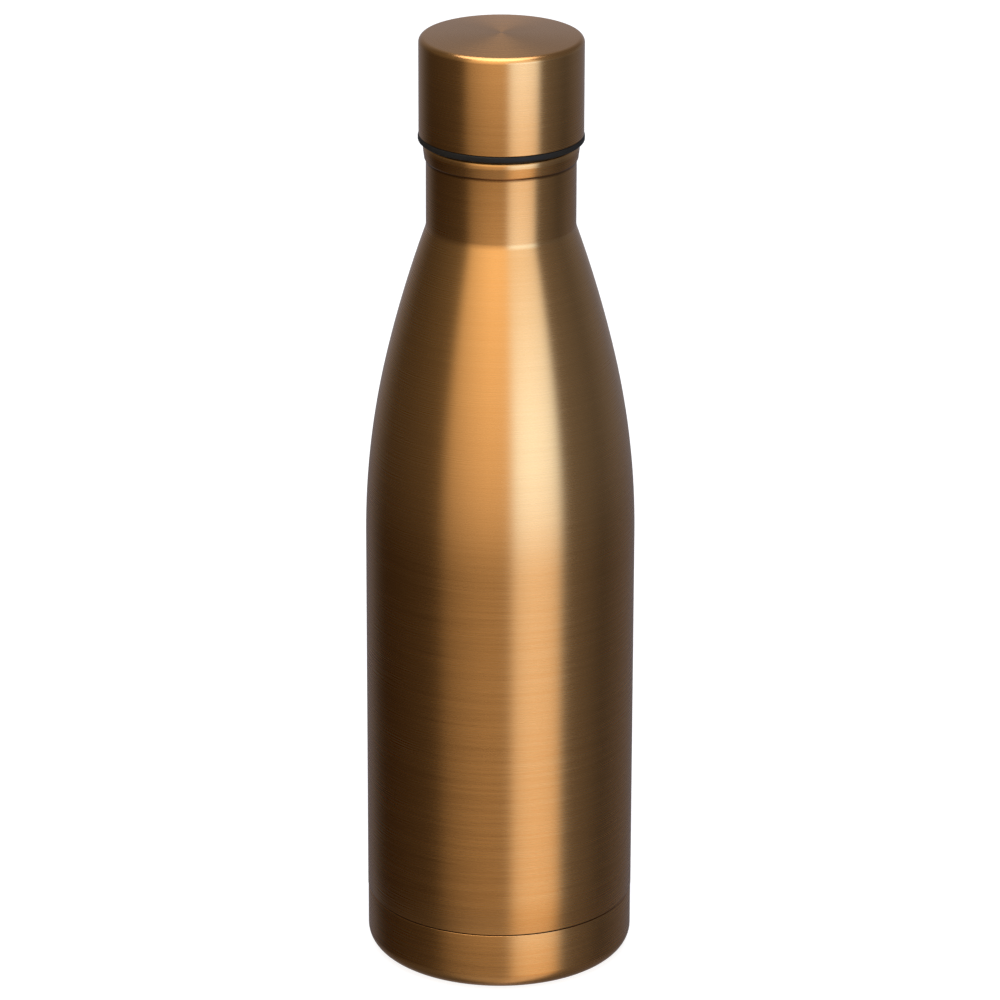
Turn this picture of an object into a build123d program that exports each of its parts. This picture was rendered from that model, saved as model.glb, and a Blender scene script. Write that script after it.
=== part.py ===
from build123d import *

# Vacuum-insulated water bottle with a brushed copper finish.
#
# A thin steel outer shell hangs from the mouth rim of a steel inner vessel, with a vacuum between them.
# The vessel's neck carries a rolled internal thread. The cap is a metal cup over a hollow moulded stopper,
# which screws into that thread and squeezes a rubber gasket onto the rim.
#
# Millimetres, +Z up. The origin is the centre of the ring that the bottle stands on.

import os
from math import acos, asin, cos, degrees, pi, radians, sin

# ---------------------------------------------------------------- driving dimensions
HEIGHT = 260.0  # floor to the top of the cap
BODY_RADIUS = 36.4
NECK_RADIUS = 20.0
CAP_RADIUS = 21.9
SHELL_WALL = 0.45
JACKET_GAP = 4.95  # vacuum between shell and vessel, at the body
NECK_JACKET_GAP = 1.65  # the same at the neck

# shoulder: two arcs, each tangent to the next, and a fillet into the neck
NECK_START_Z = 208.9  # top of that fillet, where the straight neck starts
SHOULDER_LOWER_ARC = 224.0
SHOULDER_LOWER_TURN = 12.9  # degrees that the lower arc turns inwards
SHOULDER_UPPER_ARC = 334.0
NECK_FILLET = 5.3

# rolled bead and rim at the mouth
RIM_Z = 231.45  # sealing face
BEAD_HEIGHT = 4.95
BEAD_PROUD = 0.75
BEAD_LIP_PROUD = 0.3  # small step at the bead's lower end
BEAD_LIP_HEIGHT = 0.3
BEAD_CREASE_FILLET = 0.3
BEAD_LIP_FILLET = 0.6
BEAD_FLANK_FILLET = 2.0
RIM_FILLET = 1.1
RIM_WELD_GAP = 0.03  # the shell's edge to the vessel's neck, closed by a weld bead too small to model

# base
SEAM_Z = 16.9  # centre of the groove between shell and base cup
SEAM_GAP = 0.35
SEAM_EDGE_FILLET = 0.12
BASE_STEP = 0.08  # base cup's radius under the shell's
BASE_CORNER = 4.9
STAND_RING_WIDTH = 3.4
STAND_RING_FILLET = 0.9
BASE_RECESS = 1.6  # how far the middle of the base is raised off the floor
PRESS_GAP = 0.04  # radial gap of the spigot in the shell and in the base cup

# outer bottom: closes the vacuum jacket, and its skirt is the spigot that bridges the seam
SPIGOT_RISE = 6.1  # above the seam
JACKET_FLOOR_Z = 8.0
JACKET_CORNER = 5.0
BOTTOM_WALL = 0.4
PUMP_DIMPLE_RADIUS = 7.0
PUMP_DIMPLE_DEPTH = 2.2
PUMP_DIMPLE_FILLET = 1.0
PUMP_HOLE_RADIUS = 1.0
PELLET_RADIUS = 2.4
PELLET_HEIGHT = 0.9

# inner vessel: outside sizes
VESSEL_WALL = 0.4
VESSEL_NECK_START_Z = 200.6
VESSEL_NECK_FILLET = 9.0
VESSEL_FLOOR_GAP = 5.0  # jacket floor to the vessel's floor
VESSEL_CORNER = 9.0
VESSEL_CUP_HEIGHT = 17.0  # the vessel's bottom is welded to its tube this far up

# copper foil round the vessel, a split sleeve that stops radiant heat
FOIL_WALL = 0.1
FOIL_GAP = 0.05
FOIL_WELD_GAP = 2.0  # above the vessel's weld
FOIL_SLIT = 1.5

# getter pill on the jacket floor, under a spot-welded strap
GETTER_RADIUS = 4.0
GETTER_HEIGHT = 1.6
GETTER_EDGE_ROUND = 0.3
GETTER_OFFSET = 17.0
STRAP_WALL = 0.2
STRAP_WIDTH = 3.0
STRAP_FOOT = 2.5
STRAP_GAP = 0.05

# screw thread, right-handed, one start
THREAD_LEAD = 4.0
THREAD_TURNS = 2.0
THREAD_BELOW_RIM = 4.2  # from the rim down to the thread's upper end
THREAD_DEPTH = 0.9
THREAD_CLEARANCE = 0.3  # radial, at crest and root
THREAD_FLANK_GAP = 0.1
VESSEL_RIDGE_ROOT = 1.9  # widths along the axis
VESSEL_RIDGE_CREST = 0.9
STOPPER_RIDGE_ROOT = 1.6
STOPPER_RIDGE_CREST = 0.8
RIDGE_SINK = 0.2  # how far a ridge's root runs into the wall that it stands on

# stopper: flange, plug and skirt in one moulding
FLANGE_OVERHANG = 1.35  # past the bead
FLANGE_GAP = 0.3  # rim to the flange
FLANGE_HEIGHT = 1.65
FLANGE_FILLET = 0.5
FLANGE_WEB = 0.8  # over the gasket's groove
PLUG_DEPTH = 17.0  # rim to the plug's end
PLUG_WALL = 1.8
PLUG_END_FILLET = 1.5
SKIRT_WALL = 1.4
SKIRT_GAP = 0.15  # glue line between skirt and cap shell
SKIRT_RIB_COUNT = 12
SKIRT_RIB_WIDTH = 1.2
SKIRT_RIB_PROUD = 0.1

# cap shell
CAP_WALL = 0.5
CAP_EDGE_ROUND = 1.6
CAP_SEAT_GAP = 0.1  # shell's open edge to the flange

# inner lid welded over the stopper's foam
LID_HEIGHT = 1.8
LID_TOP_GAP = 0.3
LID_SPIGOT_HEIGHT = 1.5
LID_SPIGOT_WALL = 1.2
LID_RIB_HEIGHT = 1.2
LID_RIB_WIDTH = 1.0
LID_RIB_COUNT = 6
LID_WELD_GAP = 0.05

# foam core
FOAM_GAP = 0.3

# gasket, in a groove under the flange
GASKET_INSET = 0.3  # its bore inside the vessel neck's outside
GASKET_WIDTH = 3.0
GASKET_HEIGHT = 1.5
GASKET_LIP = 0.25  # sealing bead under the gasket
GASKET_LIP_WIDTH = 1.0
GASKET_GAP = 0.1  # to the groove's walls
GASKET_SEAT_GAP = 0.05  # to the rim, and to the groove's roof

# ---------------------------------------------------------------- derived sizes
SHELL_BORE = BODY_RADIUS - SHELL_WALL
SPIGOT_RADIUS = SHELL_BORE - PRESS_GAP
SPIGOT_TOP_Z = SEAM_Z + SPIGOT_RISE
BASE_RADIUS = BODY_RADIUS - BASE_STEP
BASE_WALL = BASE_RADIUS - SPIGOT_RADIUS - PRESS_GAP
BEAD_RADIUS = NECK_RADIUS + BEAD_PROUD
VESSEL_RADIUS = SHELL_BORE - JACKET_GAP
VESSEL_NECK_RADIUS = NECK_RADIUS - SHELL_WALL - NECK_JACKET_GAP
VESSEL_FLOOR_Z = JACKET_FLOOR_Z + VESSEL_FLOOR_GAP
VESSEL_JOIN_Z = VESSEL_FLOOR_Z + VESSEL_CUP_HEIGHT
MOUTH_BORE = VESSEL_NECK_RADIUS - VESSEL_WALL
THREAD_CREST = MOUTH_BORE - THREAD_DEPTH
THREAD_LOW_Z = RIM_Z - THREAD_BELOW_RIM - THREAD_LEAD * THREAD_TURNS
THREAD_LAG = (VESSEL_RIDGE_ROOT + STOPPER_RIDGE_CREST) / 2 + THREAD_FLANK_GAP  # from ridge to ridge
PLUG_RADIUS = THREAD_CREST - THREAD_CLEARANCE
PLUG_CREST = MOUTH_BORE - THREAD_CLEARANCE
PLUG_BORE = PLUG_RADIUS - PLUG_WALL
PLUG_LOW_Z = RIM_Z - PLUG_DEPTH
GASKET_INNER = VESSEL_NECK_RADIUS - GASKET_INSET
GASKET_OUTER = GASKET_INNER + GASKET_WIDTH
GASKET_LOW_Z = RIM_Z + GASKET_SEAT_GAP
GASKET_TOP_Z = GASKET_LOW_Z + GASKET_LIP + GASKET_HEIGHT
GROOVE_ROOF_Z = GASKET_TOP_Z + GASKET_SEAT_GAP
WEB_TOP_Z = GROOVE_ROOF_Z + FLANGE_WEB
FLANGE_RADIUS = BEAD_RADIUS + FLANGE_OVERHANG
FLANGE_LOW_Z = RIM_Z + FLANGE_GAP
FLANGE_TOP_Z = FLANGE_LOW_Z + FLANGE_HEIGHT
CAP_LOW_Z = FLANGE_TOP_Z + CAP_SEAT_GAP
CAP_BORE = CAP_RADIUS - CAP_WALL
CAP_INSIDE_ROUND = CAP_EDGE_ROUND - CAP_WALL
SKIRT_RADIUS = CAP_BORE - SKIRT_GAP
SKIRT_BORE = SKIRT_RADIUS - SKIRT_WALL
LID_TOP_Z = HEIGHT - CAP_WALL - LID_TOP_GAP
SKIRT_TOP_Z = LID_TOP_Z - LID_HEIGHT - LID_WELD_GAP


# ---------------------------------------------------------------- profile helpers, in the plane of radius and height
def shoulder(body_r, neck_r, neck_start_z, fillet_r):
    """Three arcs from the straight body up to the straight neck, and the height at which the body ends."""
    turn = radians(SHOULDER_LOWER_TURN)
    lower_r, upper_r = SHOULDER_LOWER_ARC, SHOULDER_UPPER_ARC
    lower_x = body_r - lower_r
    upper_x = lower_x + (lower_r - upper_r) * cos(turn)
    fillet_x = neck_r + fillet_r
    lean = acos((fillet_x - upper_x) / (upper_r + fillet_r))
    upper_z = neck_start_z - (upper_r + fillet_r) * sin(lean)
    body_end_z = upper_z + (upper_r - lower_r) * sin(turn)
    arcs = [
        CenterArc((lower_x, body_end_z), lower_r, 0, degrees(turn)),
        CenterArc((upper_x, upper_z), upper_r, degrees(turn), degrees(lean - turn)),
        CenterArc((fillet_x, neck_start_z), fillet_r, 180 + degrees(lean), -degrees(lean)),
    ]
    return arcs, body_end_z


def sheet(edges, wall, side):
    """The section of a metal sheet: a line of edges and its parallel at one wall's distance."""
    return make_face(offset(Wire(edges), wall, side=side))


def band(low_z, high_z, inner_r, outer_r):
    """A plain rectangular section."""
    corners = [(inner_r, low_z), (outer_r, low_z), (outer_r, high_z), (inner_r, high_z)]
    return make_face(Polyline(*corners, close=True))


def section(*corners):
    """A section with straight sides."""
    return make_face(Polyline(*corners, close=True))


def turned(face, arc=360):
    """The section swung about the bottle's axis."""
    return revolve(Plane.XZ * face, Axis.Z, arc)


def ridge(root_r, crest_r, root_width, crest_width, turn=0):
    """One helical thread ridge with a trapezoid section, from its root to its crest."""
    path = Helix(THREAD_LEAD, THREAD_LEAD * THREAD_TURNS, root_r)
    reach = crest_r - root_r
    outline = section(
        (0, -root_width / 2), (reach, -crest_width / 2), (reach, crest_width / 2), (0, root_width / 2)
    )
    start = Plane(origin=path @ 0, x_dir=(1, 0, 0), z_dir=path % 0)
    swept = sweep(start * outline, path=path, is_frenet=True)
    return Pos(0, 0, THREAD_LOW_Z) * Rot(0, 0, turn) * swept


# ---------------------------------------------------------------- vessel pieces
def outer_shell():
    """Visible body: straight side, shoulder, neck, rolled bead and the rim turned in to the mouth."""
    arcs, body_end_z = shoulder(BODY_RADIUS, NECK_RADIUS, NECK_START_Z, NECK_FILLET)
    crease_z = RIM_Z - BEAD_HEIGHT
    mouth = FilletPolyline(
        (NECK_RADIUS, NECK_START_Z),
        (NECK_RADIUS, crease_z),
        (NECK_RADIUS + BEAD_LIP_PROUD, crease_z + BEAD_LIP_HEIGHT),
        (BEAD_RADIUS, crease_z + 0.6 * BEAD_HEIGHT),
        (BEAD_RADIUS, RIM_Z),
        (VESSEL_NECK_RADIUS + RIM_WELD_GAP, RIM_Z),
        radius=[BEAD_CREASE_FILLET, BEAD_LIP_FILLET, BEAD_FLANK_FILLET, RIM_FILLET],
    )
    side = Line((BODY_RADIUS, SEAM_Z + SEAM_GAP / 2), (BODY_RADIUS, body_end_z))
    shell = turned(sheet([side, *arcs, *mouth.edges()], SHELL_WALL, Side.LEFT))
    low_edge = shell.edges().filter_by(GeomType.CIRCLE).group_by(Axis.Z)[0].sort_by(SortBy.RADIUS)[-1]
    return fillet(low_edge, SEAM_EDGE_FILLET)


def vessel_shoulder():
    """The vessel's own shoulder, inside the shell's."""
    return shoulder(VESSEL_RADIUS, VESSEL_NECK_RADIUS, VESSEL_NECK_START_Z, VESSEL_NECK_FILLET)


def inner_vessel():
    """Steel tube of the liquid space, necked in at the top, with the thread rolled into its neck."""
    arcs, body_end_z = vessel_shoulder()
    side = Line((VESSEL_RADIUS, VESSEL_JOIN_Z), (VESSEL_RADIUS, body_end_z))
    neck = Line((VESSEL_NECK_RADIUS, VESSEL_NECK_START_Z), (VESSEL_NECK_RADIUS, RIM_Z))
    tube = turned(sheet([side, *arcs, neck], VESSEL_WALL, Side.LEFT))
    thread = ridge(MOUTH_BORE + RIDGE_SINK, THREAD_CREST, VESSEL_RIDGE_ROOT, VESSEL_RIDGE_CREST)
    return tube + thread


def inner_bottom():
    """Dished floor of the liquid space, butt-welded to the tube."""
    outline = FilletPolyline(
        (VESSEL_RADIUS, VESSEL_JOIN_Z),
        (VESSEL_RADIUS, VESSEL_FLOOR_Z),
        (0, VESSEL_FLOOR_Z),
        radius=VESSEL_CORNER,
    )
    return turned(sheet(outline.edges(), VESSEL_WALL, Side.RIGHT))


def copper_foil():
    """Foil sleeve round the straight part of the vessel, split down one side."""
    low_z = VESSEL_JOIN_Z + FOIL_WELD_GAP
    arcs, high_z = vessel_shoulder()
    inner_r = VESSEL_RADIUS + FOIL_GAP
    sleeve = turned(band(low_z, high_z, inner_r, inner_r + FOIL_WALL))
    slit = Pos(-inner_r, 0, (low_z + high_z) / 2) * Box(inner_r, FOIL_SLIT, high_z)
    return sleeve - slit


def outer_bottom():
    """Cup that closes the jacket, with a dimple for the pumping hole. Its skirt bridges the base seam."""
    floor_z = JACKET_FLOOR_Z
    outline = FilletPolyline(
        (SPIGOT_RADIUS, SPIGOT_TOP_Z),
        (SPIGOT_RADIUS, floor_z),
        (PUMP_DIMPLE_RADIUS, floor_z),
        (PUMP_DIMPLE_RADIUS - PUMP_DIMPLE_DEPTH, floor_z + PUMP_DIMPLE_DEPTH),
        (PUMP_HOLE_RADIUS, floor_z + PUMP_DIMPLE_DEPTH),
        radius=[JACKET_CORNER, PUMP_DIMPLE_FILLET, PUMP_DIMPLE_FILLET],
    )
    return turned(sheet(outline.edges(), BOTTOM_WALL, Side.RIGHT))


def seal_pellet():
    """Brazing pellet that plugs the pumping hole from below."""
    top_z = JACKET_FLOOR_Z + PUMP_DIMPLE_DEPTH
    bump_r = (PELLET_RADIUS**2 + PELLET_HEIGHT**2) / (2 * PELLET_HEIGHT)
    half_turn = degrees(asin(PELLET_RADIUS / bump_r))
    bump = CenterArc((0, top_z - PELLET_HEIGHT + bump_r), bump_r, 270, half_turn)
    sides = Polyline((PELLET_RADIUS, top_z), (0, top_z), (0, top_z - PELLET_HEIGHT))
    return turned(make_face([bump, *sides.edges()]))


def getter_pill():
    """Gas-absorbing tablet on the jacket floor."""
    floor_z = JACKET_FLOOR_Z + BOTTOM_WALL
    pill = turned(band(floor_z, floor_z + GETTER_HEIGHT, 0, GETTER_RADIUS))
    rims = pill.edges().filter_by(GeomType.CIRCLE)
    return Pos(GETTER_OFFSET, 0, 0) * fillet(rims, GETTER_EDGE_ROUND)


def getter_strap():
    """Thin steel strap over the pill, with a foot each side spot-welded to the jacket floor."""
    floor_z = JACKET_FLOOR_Z + BOTTOM_WALL
    half = GETTER_RADIUS + STRAP_GAP
    top_z = floor_z + GETTER_HEIGHT + STRAP_GAP
    line = Polyline(
        (-half - STRAP_FOOT, floor_z), (-half, floor_z), (-half, top_z),
        (half, top_z), (half, floor_z), (half + STRAP_FOOT, floor_z),
    )
    face = make_face(offset(Wire(line.edges()), STRAP_WALL, side=Side.LEFT, kind=Kind.INTERSECTION))
    return Pos(GETTER_OFFSET, 0, 0) * extrude(Plane.YZ * face, STRAP_WIDTH / 2, both=True)


def base_cup():
    """Visible cup under the seam, pressed on the spigot. It stands on a ring round a raised middle."""
    ring_outer = BASE_RADIUS - BASE_CORNER
    ring_inner = ring_outer - STAND_RING_WIDTH
    outline = FilletPolyline(
        (BASE_RADIUS, SEAM_Z - SEAM_GAP / 2),
        (BASE_RADIUS, 0),
        (ring_inner, 0),
        (ring_inner - BASE_RECESS, BASE_RECESS),
        (0, BASE_RECESS),
        radius=[BASE_CORNER, STAND_RING_FILLET, STAND_RING_FILLET],
    )
    cup = turned(sheet(outline.edges(), BASE_WALL, Side.RIGHT))
    top_edge = cup.edges().filter_by(GeomType.CIRCLE).group_by(Axis.Z)[-1].sort_by(SortBy.RADIUS)[-1]
    return fillet(top_edge, SEAM_EDGE_FILLET)


# ---------------------------------------------------------------- cap pieces
def cap_shell():
    """Deep-drawn metal cup, the visible cap."""
    outline = FilletPolyline(
        (CAP_RADIUS, CAP_LOW_Z), (CAP_RADIUS, HEIGHT), (0, HEIGHT), radius=CAP_EDGE_ROUND
    )
    return turned(sheet(outline.edges(), CAP_WALL, Side.LEFT))


def stopper():
    """Hollow moulding: threaded plug, flange with the gasket groove, and the skirt glued in the shell."""
    outside = section(
        (0, PLUG_LOW_Z),
        (PLUG_RADIUS, PLUG_LOW_Z),
        (PLUG_RADIUS, FLANGE_LOW_Z),
        (FLANGE_RADIUS, FLANGE_LOW_Z),
        (FLANGE_RADIUS, FLANGE_TOP_Z),
        (SKIRT_RADIUS, FLANGE_TOP_Z),
        (SKIRT_RADIUS, SKIRT_TOP_Z),
        (0, SKIRT_TOP_Z),
    )
    plug_hollow = band(PLUG_LOW_Z + PLUG_WALL, SKIRT_TOP_Z + 1, 0, PLUG_BORE)
    skirt_hollow = band(WEB_TOP_Z, SKIRT_TOP_Z + 1, 0, SKIRT_BORE)
    groove = band(
        FLANGE_LOW_Z - 1, GROOVE_ROOF_Z, GASKET_INNER - GASKET_GAP, GASKET_OUTER + GASKET_GAP
    )
    body = turned(outside) - turned(plug_hollow) - turned(skirt_hollow) - turned(groove)
    body = fillet(body.edges().filter_by(GeomType.CIRCLE).group_by(Axis.Z)[0], PLUG_END_FILLET)
    flange_rims = body.edges().filter_by(GeomType.CIRCLE).group_by(SortBy.RADIUS)[-1]
    body = fillet(flange_rims, FLANGE_FILLET)
    thread = ridge(
        PLUG_RADIUS - RIDGE_SINK,
        PLUG_CREST,
        STOPPER_RIDGE_ROOT,
        STOPPER_RIDGE_CREST,
        turn=360 * THREAD_LAG / THREAD_LEAD,
    )
    rib_z = (WEB_TOP_Z + SKIRT_TOP_Z) / 2
    rib = Box(SKIRT_WALL, SKIRT_RIB_WIDTH, SKIRT_TOP_Z - WEB_TOP_Z)
    rib_r = SKIRT_RADIUS + SKIRT_RIB_PROUD - SKIRT_WALL / 2
    ribs = [Pos(0, 0, rib_z) * place * rib for place in PolarLocations(rib_r, SKIRT_RIB_COUNT)]
    return body + thread + ribs


def foam_core():
    """Insulating foam that fills the stopper, narrow in the plug and wide in the skirt."""
    top_z = SKIRT_TOP_Z - LID_SPIGOT_HEIGHT - LID_RIB_HEIGHT
    plug_r, skirt_r = PLUG_BORE - FOAM_GAP, SKIRT_BORE - FOAM_GAP
    low_z, step_z = PLUG_LOW_Z + PLUG_WALL + FOAM_GAP, WEB_TOP_Z + FOAM_GAP
    return turned(
        section(
            (0, low_z), (plug_r, low_z), (plug_r, step_z), (skirt_r, step_z), (skirt_r, top_z), (0, top_z)
        )
    )


def inner_lid():
    """Disc welded on the skirt to close the foam in, with a locating spigot and stiffening ribs below."""
    low_z = SKIRT_TOP_Z + LID_WELD_GAP
    spigot_r = SKIRT_BORE - LID_WELD_GAP
    disc = turned(band(low_z, LID_TOP_Z, 0, SKIRT_RADIUS))
    disc = fillet(disc.edges().filter_by(GeomType.CIRCLE).group_by(Axis.Z)[-1], CAP_INSIDE_ROUND)
    spigot = turned(band(low_z - LID_SPIGOT_HEIGHT, low_z, spigot_r - LID_SPIGOT_WALL, spigot_r))
    rib_length = spigot_r - LID_SPIGOT_WALL / 2
    rib = Pos(rib_length / 2, 0, low_z - LID_RIB_HEIGHT / 2) * Box(rib_length, LID_RIB_WIDTH, LID_RIB_HEIGHT)
    ribs = [place * rib for place in PolarLocations(0, LID_RIB_COUNT)]
    return disc + spigot + ribs


def gasket():
    """Flat rubber ring with one sealing lip that presses on the rim."""
    ring = turned(band(GASKET_LOW_Z + GASKET_LIP, GASKET_TOP_Z, GASKET_INNER, GASKET_OUTER))
    middle = (GASKET_INNER + GASKET_OUTER) / 2
    lip = turned(
        section(
            (middle - GASKET_LIP_WIDTH / 2, GASKET_LOW_Z + GASKET_LIP),
            (middle - GASKET_LIP_WIDTH / 4, GASKET_LOW_Z),
            (middle + GASKET_LIP_WIDTH / 4, GASKET_LOW_Z),
            (middle + GASKET_LIP_WIDTH / 2, GASKET_LOW_Z + GASKET_LIP),
        )
    )
    return ring + lip


PIECES = {
    "outer_shell": outer_shell,
    "inner_vessel": inner_vessel,
    "inner_bottom": inner_bottom,
    "copper_foil": copper_foil,
    "outer_bottom": outer_bottom,
    "seal_pellet": seal_pellet,
    "getter_pill": getter_pill,
    "getter_strap": getter_strap,
    "base_cup": base_cup,
    "cap_shell": cap_shell,
    "stopper": stopper,
    "foam_core": foam_core,
    "inner_lid": inner_lid,
    "gasket": gasket,
}

os.makedirs("parts", exist_ok=True)
for name, make in PIECES.items():
    export_step(make(), f"parts/{name}.step")
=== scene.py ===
from math import acos, cos, pi, radians, sin, sqrt, tan

import bmesh
import bpy
from mathutils import Matrix, Vector


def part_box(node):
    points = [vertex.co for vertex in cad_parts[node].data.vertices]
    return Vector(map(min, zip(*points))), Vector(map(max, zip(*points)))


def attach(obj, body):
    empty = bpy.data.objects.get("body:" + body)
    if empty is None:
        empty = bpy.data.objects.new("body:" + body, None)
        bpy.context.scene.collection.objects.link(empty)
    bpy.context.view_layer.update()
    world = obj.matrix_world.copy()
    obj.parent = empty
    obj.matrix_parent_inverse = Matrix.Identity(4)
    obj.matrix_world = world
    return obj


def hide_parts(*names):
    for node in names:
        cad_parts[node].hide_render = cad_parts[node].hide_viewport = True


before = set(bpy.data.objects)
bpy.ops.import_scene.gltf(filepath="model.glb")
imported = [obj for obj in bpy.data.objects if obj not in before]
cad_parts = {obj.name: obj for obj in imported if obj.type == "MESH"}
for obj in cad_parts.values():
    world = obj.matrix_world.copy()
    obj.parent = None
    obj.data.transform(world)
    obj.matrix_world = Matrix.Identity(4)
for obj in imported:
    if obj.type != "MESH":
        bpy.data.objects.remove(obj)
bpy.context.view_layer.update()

MM = 0.001
AROUND = 256  # faces round the axis

# ---------------------------------------------------------------- sizes, from the frame where it holds them
SHELL_LOW, SHELL_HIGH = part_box("outer_shell")
CAP_LOW, CAP_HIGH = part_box("cap_shell")
BASE_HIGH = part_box("base_cup")[1]
STOPPER_LOW, STOPPER_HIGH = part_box("stopper")
GASKET_LOW, GASKET_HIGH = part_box("gasket")

BODY_R = SHELL_HIGH.x
RIM_Z = SHELL_HIGH.z
SHELL_WALL = 0.45 * MM
EDGE_ROUND = 0.12 * MM  # on the cut edges of the sheet metal
POLE_R = 0.5 * MM  # a piece's last ring, before it is shut to a point

SHOULDER_LOWER_R = 224.0 * MM
SHOULDER_LOWER_TURN = radians(12.9)
SHOULDER_UPPER_R = 334.0 * MM
NECK_FILLET = 5.3 * MM
NECK_START_Z = 208.9 * MM  # top of that fillet
NECK_R = 20.0 * MM

BEAD_R = 20.75 * MM
BEAD_LOW_Z = RIM_Z - 4.95 * MM
BEAD_LIP = 0.42 * MM  # the step at its lower end, as far out as up
BEAD_FLANK_RISE = 2.97 * MM  # from its lower end to its full radius
BEAD_ROUNDS = [0.15 * MM, 0.5 * MM, 2.0 * MM, 1.1 * MM]  # crease, lip, flank and rim
RIM_INNER_R = 17.94 * MM

BASE_WALL = 0.37 * MM
BASE_CORNER = 4.9 * MM
BASE_RING_WIDTH = 3.4 * MM
BASE_RAISE = 1.6 * MM  # of the middle, off the floor
BASE_ROUND = 0.9 * MM  # where the ring turns up into the middle

CAP_WALL = 0.5 * MM
CAP_ROUND = 1.6 * MM
CAP_EDGE_IN = 0.3 * MM  # how far in the cut edge starts, so that it can be rounded
CROWN_R = 20.3 * MM  # the cap's dome starts here
CROWN_RISE = 0.9 * MM
CROWN_RINGS = (20, 18.5, 17, 15, 13, 11, 9, 7, 5, 3, 1.5, 0.5)  # radii in millimetres

FLANGE_R = STOPPER_HIGH.x
FLANGE_LOW_Z = RIM_Z + 0.3 * MM
FLANGE_TOP_Z = FLANGE_LOW_Z + 1.65 * MM
SKIRT_R = 21.25 * MM
SKIRT_BORE = 19.85 * MM
GROOVE_OUTER_R = 20.7 * MM  # the gasket's groove, under the flange
GROOVE_INNER_R = 17.5 * MM
GROOVE_SLACK = 0.05 * MM  # between the gasket and the groove's roof
WEB = 0.8 * MM  # plastic over the groove
MOUTH_R = 17.5 * MM
PLUG_R = 16.3 * MM
PLUG_BORE = 14.5 * MM
PLUG_FLOOR = 1.8 * MM
RECESS_R = 12.0 * MM  # the shallow recess in the plug's end
RECESS_DEPTH = 0.4 * MM
RECESS_SLOPE = 0.4 * MM
GATE_R = 2.0 * MM  # the moulding's gate, sunk in the recess
GATE_DEPTH = 0.7 * MM

GASKET_INNER_R = 17.6 * MM
GASKET_LIP = 0.25 * MM  # height of its lip, and half the lip's width at the tip
GASKET_LIP_ROOT = 0.5 * MM  # half the lip's width at the root

LEAD = 4.0 * MM  # the screw thread's
THREAD_TURNS = 2
THREAD_LOW_Z = RIM_Z - 12.2 * MM
THREAD_STEPS = 64  # to a turn
RIDGE_ROOT_R = PLUG_R - 0.2 * MM  # sunk a little into the plug
RIDGE_CREST_R = MOUTH_R - 0.3 * MM
RIDGE_ROOT_WIDTH = 1.6 * MM
RIDGE_CREST_WIDTH = 0.8 * MM
RIDGE_LAG = 1.45 * MM  # how far it lies below the vessel's own ridge, which it bears on
RUN_OUT_STEPS = THREAD_STEPS // 8  # over which it fades at either end
FADED = 0.12  # its size at the very ends, as a share


# ---------------------------------------------------------------- turning
def arc(centre_r, centre_z, radius, start, end, steps):
    """Stations (radius, height) along an arc, its angles in radians from the outward direction."""
    angles = [start + (end - start) * i / steps for i in range(steps + 1)]
    return [(centre_r + radius * cos(a), centre_z + radius * sin(a)) for a in angles]


def line(start, end, steps):
    """Stations along a straight stretch, without its first one."""
    return [tuple(start[k] + (end[k] - start[k]) * i / steps for k in (0, 1)) for i in range(1, steps + 1)]


def rounded(corners, rounds, steps):
    """Stations from corner to corner, with each corner between the ends rounded, or left sharp for a 0."""
    stations = [corners[0]]
    for before, at, after, radius in zip(corners, corners[1:], corners[2:], rounds):
        if radius == 0:
            stations.append(at)
            continue
        corner = Vector(at)
        back = (Vector(before) - corner).normalized()
        ahead = (Vector(after) - corner).normalized()
        half = back.angle(ahead) / 2
        middle = corner + (back + ahead).normalized() * radius / sin(half)
        first = corner + back * radius / tan(half) - middle
        last = corner + ahead * radius / tan(half) - middle
        sweep = first.angle_signed(last)
        for i in range(steps + 1):
            stations.append(tuple(middle + Matrix.Rotation(-sweep * i / steps, 2) @ first))
    stations.append(corners[-1])
    return stations


def select_ring(radius, height):
    bpy.ops.mesh.select_all(action="DESELECT")
    shape = bmesh.from_edit_mesh(bpy.context.object.data)
    for point in shape.verts:
        at_radius = abs(sqrt(point.co.x**2 + point.co.y**2) - radius) < 0.001 * MM
        if at_radius and abs(point.co.z - height) < 0.001 * MM:
            point.select_set(True)
    shape.select_flush(True)
    bmesh.update_edit_mesh(bpy.context.object.data)


def turn(name, stations, shut_start=False, shut_end=False, join_ends=False):
    """A ring drawn out from station to station. Its ends stay open, shut to a point, or join up."""
    bpy.ops.object.select_all(action="DESELECT")
    radius, height = stations[0]
    bpy.ops.mesh.primitive_circle_add(vertices=AROUND, radius=radius, location=(0, 0, height))
    piece = bpy.context.object
    piece.name = name
    bpy.ops.object.transform_apply(location=True)
    bpy.ops.object.mode_set(mode="EDIT")
    bpy.ops.mesh.select_all(action="SELECT")
    for next_radius, next_height in stations[1:]:
        rise = (0, 0, next_height - height)
        bpy.ops.mesh.extrude_region_move(TRANSFORM_OT_translate={"value": rise})
        grow = next_radius / radius
        bpy.ops.transform.resize(value=(grow, grow, 1), center_override=(0, 0, next_height))
        radius, height = next_radius, next_height
    if shut_end:
        bpy.ops.mesh.merge(type="CENTER")
    if shut_start:
        select_ring(*stations[0])
        bpy.ops.mesh.merge(type="CENTER")
    bpy.ops.mesh.select_all(action="SELECT")
    if join_ends:
        bpy.ops.mesh.remove_doubles(threshold=0.001 * MM)
    bpy.ops.mesh.normals_make_consistent(inside=False)
    bpy.ops.object.mode_set(mode="OBJECT")
    return piece


def pick(piece):
    bpy.ops.object.select_all(action="DESELECT")
    piece.select_set(True)
    bpy.context.view_layer.objects.active = piece


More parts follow.
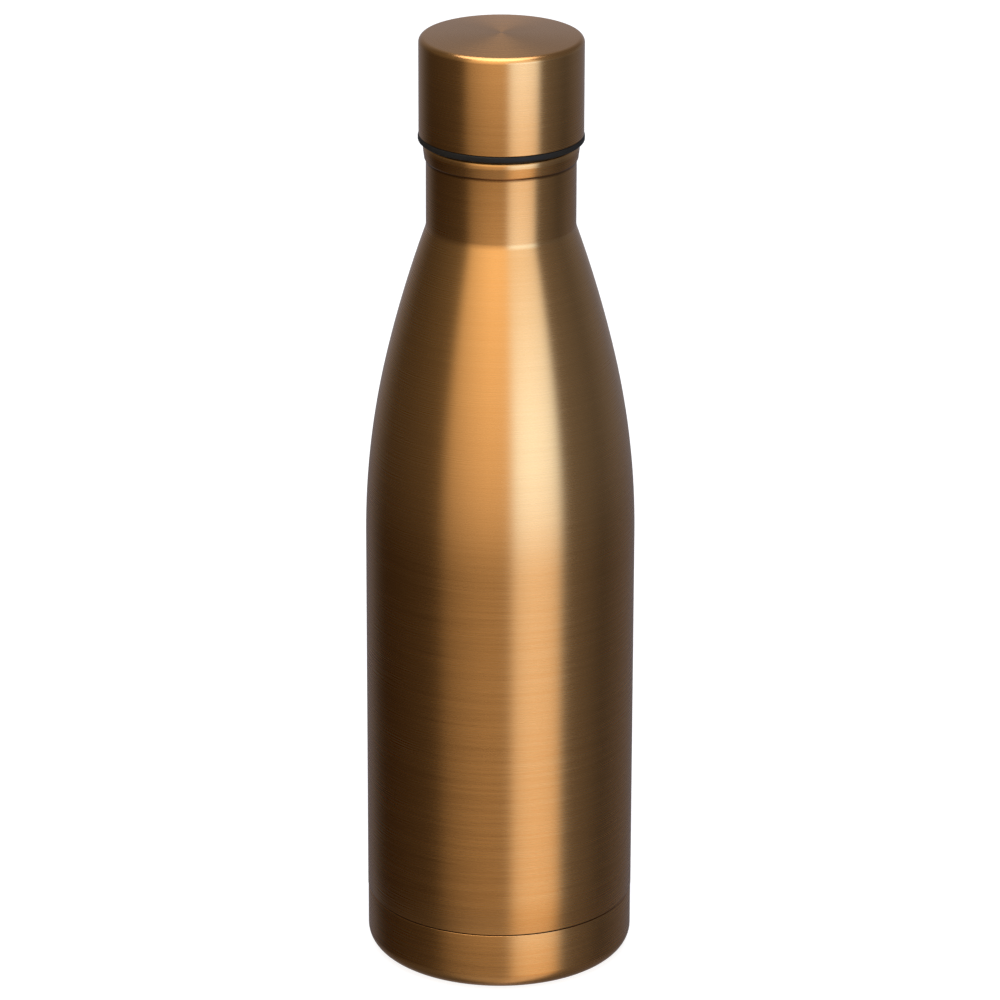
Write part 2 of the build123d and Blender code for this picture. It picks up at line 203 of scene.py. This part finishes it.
def give_wall(piece, thickness):
    """The sheet gets its thickness on the inside."""
    wall = piece.modifiers.new("wall", "SOLIDIFY")
    wall.thickness = thickness
    wall.offset = -1
    wall.use_even_offset = True
    pick(piece)
    bpy.ops.object.modifier_apply(modifier=wall.name)


def weld_on(piece, extra):
    """The extra shape is made one with the piece."""
    union = piece.modifiers.new("union", "BOOLEAN")
    union.operation = "UNION"
    union.solver = "EXACT"
    union.object = extra
    pick(piece)
    bpy.ops.object.modifier_apply(modifier=union.name)
    bpy.data.objects.remove(extra)


def smooth(piece, angle=35):
    pick(piece)
    bpy.ops.object.shade_smooth_by_angle(angle=radians(angle))


def fit(piece, material, slot, body, *nodes):
    """The finished piece gets its finish, and takes the place of its plain forerunner."""
    piece.data.materials.clear()
    piece.data.materials.append(material)
    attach(piece, body)
    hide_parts(*nodes)


# ---------------------------------------------------------------- finishes
class Nodes:
    """A node tree with short ways to add to it."""

    def __init__(self, tree):
        self.tree = tree

    def node(self, kind, settings=(), **inputs):
        made = self.tree.nodes.new("ShaderNode" + kind)
        for key, value in dict(settings).items():
            setattr(made, key, value)
        for socket, value in inputs.items():
            self.feed(value, made.inputs[socket.replace("_", " ")])
        return made

    def feed(self, value, socket):
        if isinstance(value, bpy.types.NodeSocket):
            self.tree.links.new(value, socket)
        else:
            socket.default_value = value

    def maths(self, operation, *values):
        made = self.node("Math", {"operation": operation})
        for value, socket in zip(values, made.inputs):
            self.feed(value, socket)
        return made.outputs[0]

    def axes(self, place):
        """The place's x, y and z."""
        return tuple(self.node("SeparateXYZ", Vector=place).outputs)

    def spread(self, value, low, high, start=0.35, end=0.65):
        """The value, from about start to end, stretched over low to high."""
        made = self.node("MapRange", Value=value, From_Min=start, From_Max=end, To_Min=low, To_Max=high)
        return made.outputs[0]

    def blend(self, share, first, second):
        made = self.node("Mix", {"data_type": "RGBA"})
        self.feed(share, made.inputs[0])
        self.feed(first, made.inputs[6])
        self.feed(second, made.inputs[7])
        return made.outputs[2]


class Finish(Nodes):
    """A material, with its fixed values by socket name."""

    def __init__(self, name, **fixed):
        self.material = bpy.data.materials.new(name)
        self.material.use_nodes = True
        super().__init__(self.material.node_tree)
        self.shader = self.tree.nodes["Principled BSDF"]
        for socket, value in fixed.items():
            self.shader.inputs[socket.replace("_", " ")].default_value = value

    def place(self):
        """Where a point is on the object."""
        return self.node("TexCoord").outputs["Object"]

    def noise(self, place, scale, detail=3.0, rough=0.5):
        made = self.node("TexNoise", Vector=place, Scale=scale, Detail=detail, Roughness=rough)
        return made.outputs["Fac"]

    def cells(self, place, scale, feature="F1"):
        made = self.node("TexVoronoi", {"feature": feature}, Vector=place, Scale=scale)
        return made.outputs["Distance"]

    def colour(self, value):
        self.feed(value, self.shader.inputs["Base Color"])

    def rough(self, value):
        self.feed(value, self.shader.inputs["Roughness"])

    def bump(self, height, depth):
        made = self.node("Bump", Height=height, Distance=depth, Strength=1.0)
        self.feed(made.outputs[0], self.shader.inputs["Normal"])

    def brush_round_axis(self):
        """The brush's direction, for gloss that is drawn out across its lines."""
        tangent = self.node("Tangent", {"direction_type": "RADIAL", "axis": "Z"}).outputs[0]
        self.feed(tangent, self.shader.inputs["Tangent"])

    def brush_lines(self, along, across):
        """Coordinates for marks that run round the axis: so many a metre along them and across them."""
        x, y, z = self.axes(self.place())
        squares = self.maths("ADD", self.maths("MULTIPLY", x, x), self.maths("MULTIPLY", y, y))
        across_way = self.maths("SUBTRACT", z, self.maths("SQRT", squares))
        marks = self.node(
            "CombineXYZ",
            X=self.maths("MULTIPLY", x, along),
            Y=self.maths("MULTIPLY", y, along),
            Z=self.maths("MULTIPLY", across_way, across),
        )
        return marks.outputs[0]

    def distance_off(self, height):
        """How far above or below a height a point is."""
        z = self.axes(self.place())[2]
        return self.maths("ABSOLUTE", self.maths("SUBTRACT", z, height))


def brushed_copper():
    """Copper-coloured coat on brushed steel, under a thin clear lacquer.

    Fine lines run round the axis, and the colour is darkened in the crease under the bead as painted shade.
    """
    finish = Finish(
        "brushed_copper",
        Metallic=1.0,
        Anisotropic=0.68,
        Anisotropic_Rotation=0.25,
        Coat_Weight=0.35,
        Coat_Roughness=0.22,
    )
    deep, bright = (0.812, 0.393, 0.121, 1), (0.842, 0.414, 0.133, 1)
    clouded, painted_crease_shade = (0.77, 0.365, 0.11, 1), (0.29, 0.125, 0.034, 1)
    finish.brush_round_axis()
    fine = finish.noise(finish.brush_lines(45, 5200), 1.0, 2.0, 0.6)
    broad = finish.noise(finish.brush_lines(22, 1300), 1.0, 3.0, 0.6)
    cloud = finish.noise(finish.place(), 22.0, 2.0)
    lines = finish.blend(finish.spread(broad, 0.0, 1.0), deep, bright)
    coat = finish.blend(finish.spread(cloud, 0.0, 0.2), lines, clouded)
    # painted shade: the colour goes dark within a fraction of a millimetre of the crease under the bead
    clear_of_painted_shade = finish.spread(finish.distance_off(BEAD_LOW_Z), 0.0, 1.0, 0.15 * MM, 0.7 * MM)
    finish.colour(finish.blend(clear_of_painted_shade, painted_crease_shade, coat))
    finish.rough(finish.maths("ADD", finish.spread(fine, 0.0, 0.03), finish.spread(broad, 0.244, 0.262)))
    finish.bump(fine, 0.001 * MM)
    return finish.material


def brushed_steel():
    """Bare stainless steel with a fine turned brushing, for the pieces inside."""
    finish = Finish("brushed_steel", Metallic=1.0, Anisotropic=0.5, Anisotropic_Rotation=0.25)
    finish.brush_round_axis()
    fine = finish.noise(finish.brush_lines(60, 4200), 1.0, 2.0, 0.6)
    broad = finish.noise(finish.brush_lines(20, 900), 1.0, 3.0)
    finish.colour(finish.blend(finish.spread(broad, 0, 1), (0.56, 0.55, 0.53, 1), (0.66, 0.65, 0.63, 1)))
    finish.rough(finish.maths("ADD", finish.spread(fine, 0.0, 0.08), finish.spread(broad, 0.26, 0.32)))
    finish.bump(fine, 0.003 * MM)
    return finish.material


def steel_with_painted_seam_shade():
    """Dull drawn steel, darkened to brown near the base seam as painted shade for the gap between shell and
    cup.
    """
    finish = Finish("steel_with_painted_seam_shade", Metallic=1.0)
    # painted shade: dark brown near the base seam, where the gap between the shell and the cup lies in shade
    painted_seam_shade = (0.055, 0.030, 0.014, 1)
    lines = finish.noise(finish.brush_lines(40, 2500), 1.0, 3.0)
    cloud = finish.noise(finish.place(), 160.0, 3.0)
    uneven = finish.spread(cloud, -0.6 * MM, 0.6 * MM)
    off_seam = finish.maths("ADD", finish.distance_off(BASE_HIGH.z), uneven)
    bare = finish.blend(finish.spread(lines, 0, 1), (0.46, 0.45, 0.43, 1), (0.55, 0.54, 0.52, 1))
    finish.colour(finish.blend(finish.spread(off_seam, 0.0, 1.0, 0.8 * MM, 3.5 * MM), painted_seam_shade, bare))
    finish.rough(finish.spread(cloud, 0.38, 0.55))
    finish.bump(lines, 0.004 * MM)
    return finish.material


def crinkled_foil():
    """Thin copper foil, creased where it was wrapped by hand."""
    finish = Finish("crinkled_foil", Metallic=1.0)
    place = finish.place()
    creases = finish.cells(place, 260.0, "DISTANCE_TO_EDGE")
    wrinkle = finish.noise(place, 420.0, 4.0, 0.6)
    finish.colour(finish.blend(finish.spread(wrinkle, 0, 1), (0.80, 0.40, 0.24, 1), (0.90, 0.50, 0.33, 1)))
    finish.rough(finish.spread(wrinkle, 0.16, 0.34))
    finish.bump(finish.maths("ADD", finish.spread(creases, 0.0, 0.6, 0.0, 0.25), wrinkle), 0.06 * MM)
    return finish.material


def braze():
    """Brazing metal that has melted and set."""
    finish = Finish("braze", Metallic=1.0)
    place = finish.place()
    flow = finish.noise(place, 700.0, 4.0)
    finish.colour(finish.blend(finish.spread(flow, 0, 1), (0.55, 0.42, 0.20, 1), (0.72, 0.60, 0.36, 1)))
    finish.rough(finish.spread(flow, 0.25, 0.5))
    finish.bump(flow, 0.05 * MM)
    return finish.material


def pressed_powder():
    """Dark metal powder, pressed into a tablet."""
    finish = Finish("pressed_powder", Metallic=0.3)
    place = finish.place()
    grain = finish.noise(place, 3500.0, 3.0, 0.7)
    finish.colour(finish.blend(finish.spread(grain, 0, 1), (0.03, 0.03, 0.032, 1), (0.09, 0.09, 0.095, 1)))
    finish.rough(finish.spread(grain, 0.75, 0.95))
    finish.bump(grain, 0.04 * MM)
    return finish.material


def moulded_plastic():
    """Black polypropylene with a fine spark-eroded grain."""
    finish = Finish("moulded_plastic", Specular_IOR_Level=0.16)
    place = finish.place()
    grain = finish.noise(place, 2600.0, 2.0, 0.6)
    cloud = finish.noise(place, 90.0, 3.0)
    black, worn_black = (0.0125, 0.0106, 0.0088, 1), (0.0165, 0.0142, 0.0120, 1)
    smooth_skin = finish.blend(finish.spread(cloud, 0, 1), black, worn_black)
    finish.colour(finish.blend(finish.spread(grain, 0, 0.4), smooth_skin, (0.019, 0.0165, 0.014, 1)))
    finish.rough(finish.maths("ADD", finish.spread(grain, 0.0, 0.08), finish.spread(cloud, 0.40, 0.46)))
    finish.bump(grain, 0.012 * MM)
    return finish.material


def insulating_foam():
    """Cream-coloured foam with small bubbles."""
    finish = Finish("insulating_foam", Subsurface_Weight=0.15, Subsurface_Scale=0.002)
    place = finish.place()
    bubbles = finish.cells(place, 1500.0)
    cloud = finish.noise(place, 120.0, 3.0)
    finish.colour(finish.blend(finish.spread(cloud, 0, 1), (0.74, 0.70, 0.58, 1), (0.84, 0.81, 0.71, 1)))
    finish.rough(finish.spread(bubbles, 0.8, 0.95, 0.1, 0.6))
    finish.bump(bubbles, 0.15 * MM)
    return finish.material


def black_rubber():
    """Soft silicone rubber, matt, with a faint bloom."""
    finish = Finish("black_rubber", Specular_IOR_Level=0.35)
    place = finish.place()
    bloom = finish.noise(place, 260.0, 4.0, 0.6)
    grain = finish.noise(place, 3000.0, 2.0)
    black, bloomed = (0.010, 0.010, 0.011, 1), (0.022, 0.022, 0.023, 1)
    finish.colour(finish.blend(finish.spread(bloom, 0, 1), black, bloomed))
    finish.rough(finish.spread(bloom, 0.62, 0.78))
    finish.bump(grain, 0.01 * MM)
    return finish.material


COPPER = brushed_copper()
STEEL = brushed_steel()
PLASTIC = moulded_plastic()
RUBBER = black_rubber()


# ---------------------------------------------------------------- bottle
def shoulder_stations():
    """The straight side's end, the two shoulder arcs and the fillet into the neck."""
    lower_turn, lower_r, upper_r = SHOULDER_LOWER_TURN, SHOULDER_LOWER_R, SHOULDER_UPPER_R
    lower_x = BODY_R - lower_r
    upper_x = lower_x + (lower_r - upper_r) * cos(lower_turn)
    fillet_x = NECK_R + NECK_FILLET
    lean = acos((fillet_x - upper_x) / (upper_r + NECK_FILLET))
    upper_z = NECK_START_Z - (upper_r + NECK_FILLET) * sin(lean)
    body_end_z = upper_z + (upper_r - lower_r) * sin(lower_turn)
    return [
        *arc(lower_x, body_end_z, lower_r, 0, lower_turn, 16),
        *arc(upper_x, upper_z, upper_r, lower_turn, lean, 12)[1:],
        *arc(fillet_x, NECK_START_Z, NECK_FILLET, pi + lean, pi, 8)[1:],
    ]


def body_shell():
    """Straight side, shoulder, neck and the rolled bead that ends in the mouth's rim."""
    shoulder = shoulder_stations()
    edge = arc(BODY_R - EDGE_ROUND, SHELL_LOW.z + EDGE_ROUND, EDGE_ROUND, -pi / 2, 0, 4)
    bead = [
        shoulder[-1],
        (NECK_R, BEAD_LOW_Z),
        (NECK_R + BEAD_LIP, BEAD_LOW_Z + BEAD_LIP),
        (BEAD_R, BEAD_LOW_Z + BEAD_FLANK_RISE),
        (BEAD_R, RIM_Z),
        (RIM_INNER_R, RIM_Z),
    ]
    stations = [
        *edge,
        *line(edge[-1], shoulder[0], 10),
        *shoulder[1:],
        *rounded(bead, BEAD_ROUNDS, 8)[1:],
    ]
    piece = turn("body_shell", stations)
    give_wall(piece, SHELL_WALL)
    smooth(piece)
    fit(piece, COPPER, "copper_finish", "bottle", "outer_shell")


def foot_cup():
    """Cup under the seam: a rounded corner, a narrow ring to stand on, and a raised middle."""
    top, radius = BASE_HIGH.z, BASE_HIGH.x
    ring_in = radius - BASE_CORNER - BASE_RING_WIDTH
    outline = [
        (radius - BASE_WALL, top),
        (radius, top),
        (radius, 0),
        (ring_in, 0),
        (ring_in - BASE_RAISE, BASE_RAISE),
        (POLE_R, BASE_RAISE),
    ]
    rounds = [EDGE_ROUND, BASE_CORNER, BASE_ROUND, BASE_ROUND]
    piece = turn("foot_cup", rounded(outline, rounds, 12)[1:], shut_end=True)
    give_wall(piece, BASE_WALL)
    smooth(piece)
    fit(piece, COPPER, "copper_finish", "bottle", "base_cup")


# ---------------------------------------------------------------- cap
def crown(radius):
    """Station on the cap's top, which is very slightly domed."""
    return radius, CAP_HIGH.z + CROWN_RISE * (1 - (radius / CROWN_R) ** 2)


def cap_cup():
    """Deep-drawn metal cup of the cap."""
    radius, low = CAP_HIGH.x, CAP_LOW.z
    first, *inner = [crown(ring * MM) for ring in CROWN_RINGS]
    outline = [(radius - CAP_EDGE_IN, low), (radius, low), crown(radius), first]
    piece = turn("cap_cup", [*rounded(outline, [EDGE_ROUND, CAP_ROUND], 14)[1:], *inner], shut_end=True)
    give_wall(piece, CAP_WALL)
    smooth(piece)
    fit(piece, COPPER, "copper_finish", "cap", "cap_shell")


def thread_ridge():
    """The plug's helical ridge, drawn out section by section, that fades at both ends."""
    depth = RIDGE_CREST_R - RIDGE_ROOT_R
    start = (RIDGE_ROOT_R + depth / 2, 0, THREAD_LOW_Z)
    bpy.ops.object.select_all(action="DESELECT")
    bpy.ops.mesh.primitive_plane_add(size=1, location=start, rotation=(pi / 2, 0, 0))
    piece = bpy.context.object
    piece.scale = (depth, RIDGE_ROOT_WIDTH, 1)
    bpy.ops.object.transform_apply(location=True, rotation=True, scale=True)
    bpy.ops.object.mode_set(mode="EDIT")
    bpy.ops.mesh.select_all(action="DESELECT")
    shape = bmesh.from_edit_mesh(piece.data)
    for point in shape.verts:
        point.select_set(abs(point.co.x - RIDGE_CREST_R) < 0.01 * MM)
    shape.select_flush(True)
    bmesh.update_edit_mesh(piece.data)
    flare = RIDGE_CREST_WIDTH / RIDGE_ROOT_WIDTH
    bpy.ops.transform.resize(value=(1, 1, flare), center_override=(RIDGE_CREST_R, 0, THREAD_LOW_Z))
    bpy.ops.mesh.select_all(action="SELECT")
    first_angle = 2 * pi * RIDGE_LAG / LEAD
    bpy.ops.transform.rotate(value=-first_angle, orient_axis="Z", center_override=(0, 0, 0))
    size = FADED
    bpy.ops.transform.resize(value=(size, size, size), center_override=ridge_root(first_angle, 0))
    steps = THREAD_STEPS * THREAD_TURNS
    for i in range(1, steps + 1):
        bpy.ops.mesh.extrude_region_move(TRANSFORM_OT_translate={"value": (0, 0, LEAD / THREAD_STEPS)})
        bpy.ops.transform.rotate(value=-2 * pi / THREAD_STEPS, orient_axis="Z", center_override=(0, 0, 0))
        new_size = max(FADED, sin(pi / 2 * min(1, i / RUN_OUT_STEPS, (steps - i) / RUN_OUT_STEPS)))
        grow = new_size / size
        bpy.ops.transform.resize(value=(grow, grow, grow), center_override=ridge_root(first_angle, i))
        size = new_size
    bpy.ops.mesh.select_all(action="SELECT")
    bpy.ops.mesh.normals_make_consistent(inside=False)
    bpy.ops.object.mode_set(mode="OBJECT")
    return piece


def ridge_root(first_angle, step):
    """The middle of the ridge's root, so many steps along it."""
    angle = first_angle + 2 * pi * step / THREAD_STEPS
    return RIDGE_ROOT_R * cos(angle), RIDGE_ROOT_R * sin(angle), THREAD_LOW_Z + LEAD * step / THREAD_STEPS


def stopper_moulding():
    """Black moulding: skirt in the cap, flange that shows as a thin ring, and the threaded plug."""
    top, bottom = STOPPER_HIGH.z, STOPPER_LOW.z
    groove_roof = GASKET_HIGH.z + GROOVE_SLACK
    web_top = groove_roof + WEB
    floor_top = bottom + PLUG_FLOOR
    recess_z, gate_z = bottom + RECESS_DEPTH, bottom + GATE_DEPTH
    corners = [
        (POLE_R, floor_top), (PLUG_BORE, floor_top), (PLUG_BORE, web_top),
        (SKIRT_BORE, web_top), (SKIRT_BORE, top), (SKIRT_R, top),
        (SKIRT_R, FLANGE_TOP_Z), (FLANGE_R, FLANGE_TOP_Z), (FLANGE_R, FLANGE_LOW_Z),
        (GROOVE_OUTER_R, FLANGE_LOW_Z), (GROOVE_OUTER_R, groove_roof), (GROOVE_INNER_R, groove_roof),
        (GROOVE_INNER_R, FLANGE_LOW_Z), (PLUG_R, FLANGE_LOW_Z), (PLUG_R, bottom),
        (RECESS_R, bottom), (RECESS_R - RECESS_SLOPE, recess_z), (GATE_R, recess_z),
        (GATE_R - RECESS_SLOPE, gate_z), (POLE_R, gate_z),
    ]
    rounds = [
        1.0 * MM, 0.3 * MM, 0.3 * MM, 0.2 * MM, 0.2 * MM, 0, 0.5 * MM, 0.5 * MM, 0.15 * MM, 0.15 * MM,
        0.15 * MM, 0.1 * MM, 0.25 * MM, 1.5 * MM, 0.15 * MM, 0.15 * MM, 0.12 * MM, 0.12 * MM,
    ]
    piece = turn("stopper_moulding", rounded(corners, rounds, 5), shut_start=True, shut_end=True)
    weld_on(piece, thread_ridge())
    smooth(piece, 40)
    fit(piece, PLASTIC, "black_plastic", "cap", "stopper")


def seal_ring():
    """Rubber gasket with one rounded lip, which sits on the mouth's rim."""
    inner, outer = GASKET_INNER_R, GASKET_HIGH.x
    low, top = GASKET_LOW.z, GASKET_HIGH.z
    flat, middle = low + GASKET_LIP, (inner + outer) / 2
    corners = [
        (middle, top), (inner, top), (inner, flat),
        (middle - GASKET_LIP_ROOT, flat), (middle - GASKET_LIP, low),
        (middle + GASKET_LIP, low), (middle + GASKET_LIP_ROOT, flat),
        (outer, flat), (outer, top), (middle, top),
    ]
    rounds = [0.2 * MM, 0.2 * MM, 0.1 * MM, 0.15 * MM, 0.15 * MM, 0.1 * MM, 0.2 * MM, 0.2 * MM]
    piece = turn("seal_ring", rounded(corners, rounds, 5), join_ends=True)
    smooth(piece, 50)
    fit(piece, RUBBER, "black_rubber", "gasket", "gasket")


def finish_inner_pieces():
    """The pieces that keep their shape get their own finish."""
    finishes = {
        "inner_vessel": STEEL,
        "inner_bottom": STEEL,
        "getter_strap": STEEL,
        "outer_bottom": steel_with_painted_seam_shade(),
        "copper_foil": crinkled_foil(),
        "seal_pellet": braze(),
        "getter_pill": pressed_powder(),
        "foam_core": insulating_foam(),
        "inner_lid": PLASTIC,
    }
    for name, material in finishes.items():
        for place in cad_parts[name].material_slots:
            place.material = material


# ---------------------------------------------------------------- studio
WHITE = (1, 1, 1, 1)


def floor():
    """Over-lit white paper, which keeps only a faint trace of the shadow."""
    bpy.ops.object.select_all(action="DESELECT")
    bpy.ops.mesh.primitive_circle_add(vertices=96, radius=12, fill_type="NGON")
    piece = bpy.context.object
    piece.name = "floor"
    finish = Finish(
        "floor_paper",
        Base_Color=(0.35, 0.35, 0.35, 1),
        Roughness=0.95,
        Specular_IOR_Level=0.0,
        Emission_Color=WHITE,
        Emission_Strength=0.86,
    )
    piece.data.materials.append(finish.material)
    piece.visible_glossy = False


class Sky(Nodes):
    """The world's nodes."""

    def __init__(self):
        world = bpy.data.worlds.new("studio")
        bpy.context.scene.world = world
        world.use_nodes = True
        super().__init__(world.node_tree)
        self.tree.nodes.clear()

    def ramp(self, share, stops):
        """Stops are (position, colour)."""
        made = self.node("ValToRGB")
        elements = made.color_ramp.elements
        while len(elements) < len(stops):
            elements.new(0.5)
        for element, (position, _) in zip(elements, stops):
            element.position = position
        for element, (_, colour) in zip(elements, stops):
            element.color = colour
        self.feed(share, made.inputs[0])
        return made.outputs[0]


# Soft panels all round, given by direction, so that each view has the same light. A row is degrees round from
# the front, + to the right, then the brightness at four levels, lowest first, and the name of their tints.
PANELS = [
    (-180, 0.22, 0.14, 0.32, 0.25, "back"),
    (-158, 0.18, 0.12, 0.22, 0.20, "back"),
    (-146, 0.12, 0.11, 0.165, 0.17, "back"),
    (-132, 0.09, 0.04, 0.10, 0.12, "back"),
    (-118, 0.07, 0.016, 0.065, 0.11, "wall"),
    (-96, 0.08, 0.018, 0.074, 0.12, "wall"),
    (-66, 0.10, 0.020, 0.102, 0.17, "wall"),
    (-55, 0.14, 0.02, 0.14, 0.24, "wall"),
    (-43, 0.26, 0.035, 0.59, 0.90, "wall"),
    (-26, 0.36, 0.04, 0.81, 1.12, "wall"),
    (-10, 0.40, 0.05, 0.95, 1.26, "wall"),
    (6, 0.40, 0.05, 0.92, 1.20, "wall"),
    (15, 0.62, 0.74, 1.36, 1.02, "panel"),
    (28, 0.76, 0.91, 1.48, 1.06, "panel"),
    (44, 0.72, 0.86, 1.32, 1.00, "panel"),
    (50, 0.58, 0.76, 1.10, 0.88, "panel"),
    (57, 0.16, 0.15, 0.18, 0.20, "side"),
    (68, 0.12, 0.12, 0.15, 0.16, "side"),
    (98, 0.10, 0.04, 0.105, 0.11, "side"),
    (122, 0.10, 0.08, 0.15, 0.11, "side"),
    (146, 0.12, 0.12, 0.17, 0.12, "side"),
    (160, 0.18, 0.13, 0.23, 0.18, "back"),
    (180, 0.22, 0.14, 0.32, 0.25, "back"),
]
TINTS = {
    "back": [(1.0, 1.0, 1.1), (1.0, 1.05, 1.25), (1.0, 1.08, 1.25), (1.0, 1.06, 1.2)],
    "wall": [(1.0, 0.95, 0.9), (1.0, 0.45, 0.10), (1.0, 0.92, 0.80), (1.0, 0.95, 0.80)],
    "panel": [(1.0, 0.95, 0.95), (1.0, 0.68, 0.16), (1.0, 1.60, 2.85), (1.0, 1.04, 1.10)],
    "side": [(1.0, 1.0, 1.1), (1.0, 1.0, 1.1), (1.0, 1.2, 1.6), (1.0, 1.05, 1.2)],
}
# Each of the upper three levels takes over from the one under it between two rises, given as sines.
TAKE_OVER = [(-0.60, -0.47), (-0.335, -0.235), (0.08, 0.30)]


def panel_stops(level):
    """One level's light all round, as stops from the back, round by the left, to the back again."""
    stops = []
    for panel in PANELS:
        degrees, brightness, tint = panel[0], panel[1 + level], TINTS[panel[5]][level]
        stops.append(((degrees + 180) / 360, (*[brightness * part for part in tint], 1)))
    return stops


def studio_light():
    sky = Sky()
    x, y, z = sky.axes(sky.node("TexCoord").outputs["Generated"])
    bearing = sky.maths("ARCTAN2", x, sky.maths("MULTIPLY", y, -1.0))
    way_round = sky.spread(bearing, 0.0, 1.0, -pi, pi)
    light, *upper_levels = [sky.ramp(way_round, panel_stops(level)) for level in range(4)]
    for upper, (low, high) in zip(upper_levels, TAKE_OVER):
        light = sky.blend(sky.spread(z, 0.0, 1.0, low, high), light, upper)
    shown = sky.node("MixShader")
    sky.feed(sky.node("LightPath").outputs["Is Camera Ray"], shown.inputs[0])
    sky.feed(sky.node("Background", Color=light).outputs[0], shown.inputs[1])
    sky.feed(sky.node("Background", Color=WHITE).outputs[0], shown.inputs[2])
    sky.node("OutputWorld", Surface=shown.outputs[0])


def overhead_lamp():
    bpy.ops.object.light_add(type="AREA", location=(-0.2, -0.2, 2.6))
    overhead = bpy.context.object
    overhead.name = "overhead_panel"
    overhead.data.shape = "DISK"
    overhead.data.size = 2.8
    overhead.data.energy = 46
    overhead.data.color = (1.0, 1.0, 1.12)


def camera():
    aside, distance, height = -0.0001, 1.4035, 0.66205
    tilt, roll = radians(90 - 20.77), radians(0.15)
    data = bpy.data.cameras.new("camera")
    data.sensor_width = 36
    data.lens = 199.7
    holder = bpy.data.objects.new("camera", data)
    bpy.context.scene.collection.objects.link(holder)
    holder.location = (aside, -distance, height)
    aim = Matrix.Rotation(tilt, 3, "X") @ Matrix.Rotation(roll, 3, "Z")
    holder.rotation_euler = aim.to_euler()
    bpy.context.scene.camera = holder


body_shell()
foot_cup()
cap_cup()
stopper_moulding()
seal_ring()
finish_inner_pieces()
floor()
studio_light()
overhead_lamp()
camera()
bpy.context.scene.view_settings.view_transform = "Standard"
